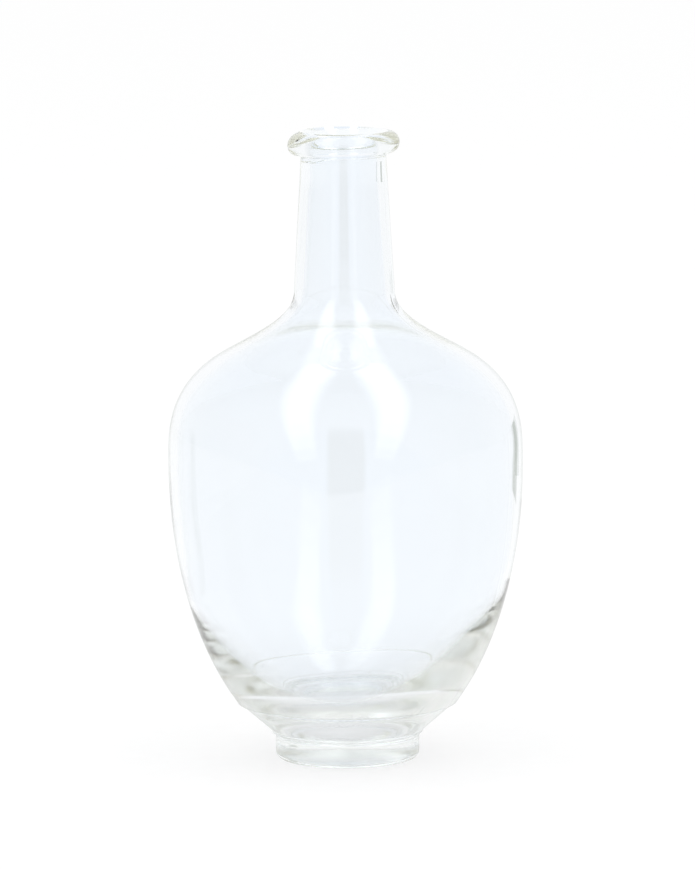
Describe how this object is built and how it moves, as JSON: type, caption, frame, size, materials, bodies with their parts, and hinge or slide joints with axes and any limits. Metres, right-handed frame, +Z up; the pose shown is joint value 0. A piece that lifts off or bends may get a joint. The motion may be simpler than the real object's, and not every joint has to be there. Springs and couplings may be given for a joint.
{
  "type": "glass bud vase",
  "caption": "Clear glass bud vase: barrel-shaped belly on a small foot, rounded shoulder, slender tapered neck and a rolled lip.",
  "frame": {"origin": "centre of the base, at table level", "axes": "+Z up along the vase's axis of revolution; X and Y are equivalent directions across it"},
  "size_m": [0.105, 0.105, 0.187],
  "materials": {
    "clear_glass": "polished"
  },
  "bodies": {
    "root": {"foot": "clear_glass", "heel": "clear_glass", "belly": "clear_glass", "shoulder": "clear_glass", "neck": "clear_glass", "lip": "clear_glass"}
  },
  "joints": []
}
